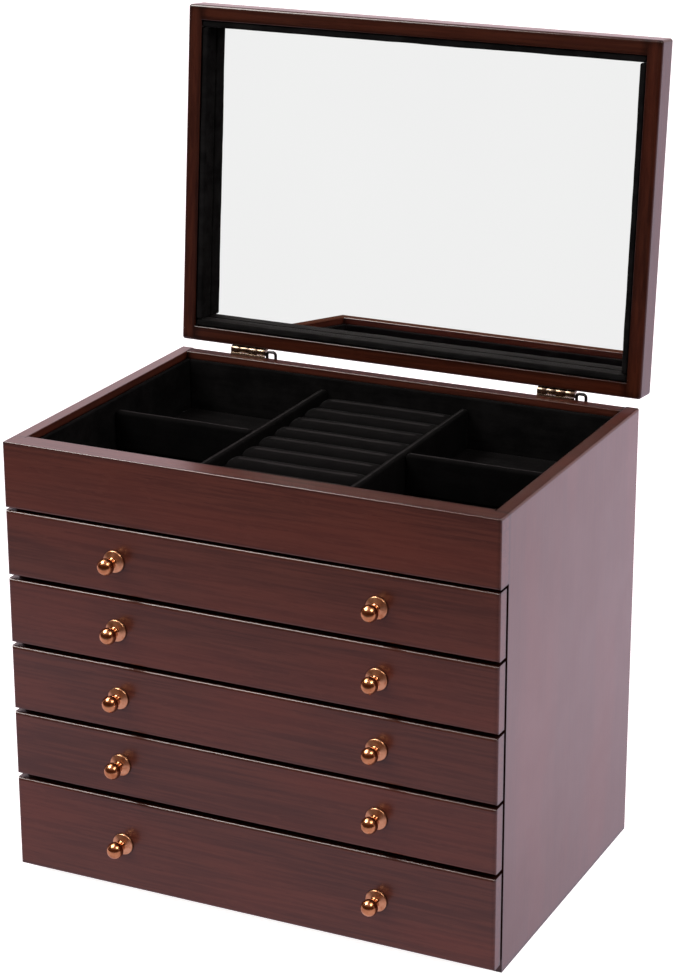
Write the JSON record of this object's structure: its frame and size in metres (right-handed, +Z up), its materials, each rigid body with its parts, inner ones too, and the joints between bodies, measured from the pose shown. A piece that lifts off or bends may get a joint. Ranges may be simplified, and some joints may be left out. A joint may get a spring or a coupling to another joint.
{
  "type": "jewelry box",
  "caption": "Wooden jewelry box with stacked drawers under an open velvet-lined tray, and a hinged lid that holds a mirror.",
  "frame": {"origin": "middle of the footprint, on the underside of the bottom panel, which is what the box stands on", "axes": "+X to the right, +Y to the back where the hinges are, +Z up; the drawers open towards -Y"},
  "size_m": [0.3, 0.2577, 0.4758],
  "materials": {
    "lacquered_wood": "dark red-brown stain under satin lacquer",
    "drawer_wood": "thin stained board, matt",
    "black_velvet": "short black pile",
    "copper_knob": "polished antique copper plating",
    "hinge_brass": "thin polished brass plating",
    "steel": "bright zinc",
    "black_steel": "black oxide spring wire",
    "mirror_glass": "silvered flat glass"
  },
  "bodies": {
    "carcass": {"side_panel_right": "lacquered_wood", "side_panel_left": "lacquered_wood", "back_panel": "lacquered_wood", "bottom_panel": "lacquered_wood", "top_front": "lacquered_wood", "tray_floor": "drawer_wood", "drawer_shelves": "drawer_wood", "tray_lining": "black_velvet", "tray_pad": "black_velvet", "tray_divider_right": "black_velvet", "tray_divider_left": "black_velvet", "tray_cross_dividers": "black_velvet", "ring_rolls": "black_velvet", "hinge_body_leaves": "hinge_brass", "hinge_pins": "steel", "hinge_stop_springs": "black_steel", "hinge_body_screws": "hinge_brass"},
    "lid": {"lid_front_rail": "lacquered_wood", "lid_back_rail": "lacquered_wood", "lid_side_rails": "lacquered_wood", "lid_panel": "lacquered_wood", "lid_mirror": "mirror_glass", "lid_lining": "black_velvet", "hinge_lid_leaves": "hinge_brass", "hinge_lid_screws": "hinge_brass"},
    "drawer_1": {"drawer_1_front": "lacquered_wood", "drawer_1_sides": "drawer_wood", "drawer_1_back": "drawer_wood", "drawer_1_bottom": "drawer_wood", "drawer_1_lining": "black_velvet", "drawer_1_knobs": "copper_knob", "drawer_1_knob_screws": "steel"},
    "drawer_2": {"drawer_2_front": "lacquered_wood", "drawer_2_sides": "drawer_wood", "drawer_2_back": "drawer_wood", "drawer_2_bottom": "drawer_wood", "drawer_2_lining": "black_velvet", "drawer_2_knobs": "copper_knob", "drawer_2_knob_screws": "steel"},
    "drawer_3": {"drawer_3_front": "lacquered_wood", "drawer_3_sides": "drawer_wood", "drawer_3_back": "drawer_wood", "drawer_3_bottom": "drawer_wood", "drawer_3_lining": "black_velvet", "drawer_3_knobs": "copper_knob", "drawer_3_knob_screws": "steel"},
    "drawer_4": {"drawer_4_front": "lacquered_wood", "drawer_4_sides": "drawer_wood", "drawer_4_back": "drawer_wood", "drawer_4_bottom": "drawer_wood", "drawer_4_lining": "black_velvet", "drawer_4_knobs": "copper_knob", "drawer_4_knob_screws": "steel"},
    "drawer_5": {"drawer_5_front": "lacquered_wood", "drawer_5_sides": "drawer_wood", "drawer_5_back": "drawer_wood", "drawer_5_bottom": "drawer_wood", "drawer_5_lining": "black_velvet", "drawer_5_knobs": "copper_knob", "drawer_5_knob_screws": "steel"}
  },
  "joints": [
    {"name": "lid_hinge", "type": "hinge", "parent": "carcass", "child": "lid", "pos_m": [0, 0.1058, 0.2693], "axis": [1, 0, 0], "range_deg": [0, 95]},
    {"name": "drawer_1_slide", "type": "slide", "parent": "carcass", "child": "drawer_1", "axis": [0, -1, 0], "range_m": [0, 0.14]},
    {"name": "drawer_2_slide", "type": "slide", "parent": "carcass", "child": "drawer_2", "axis": [0, -1, 0], "range_m": [0, 0.14]},
    {"name": "drawer_3_slide", "type": "slide", "parent": "carcass", "child": "drawer_3", "axis": [0, -1, 0], "range_m": [0, 0.14]},
    {"name": "drawer_4_slide", "type": "slide", "parent": "carcass", "child": "drawer_4", "axis": [0, -1, 0], "range_m": [0, 0.14]},
    {"name": "drawer_5_slide", "type": "slide", "parent": "carcass", "child": "drawer_5", "axis": [0, -1, 0], "range_m": [0, 0.14]}
  ]
}
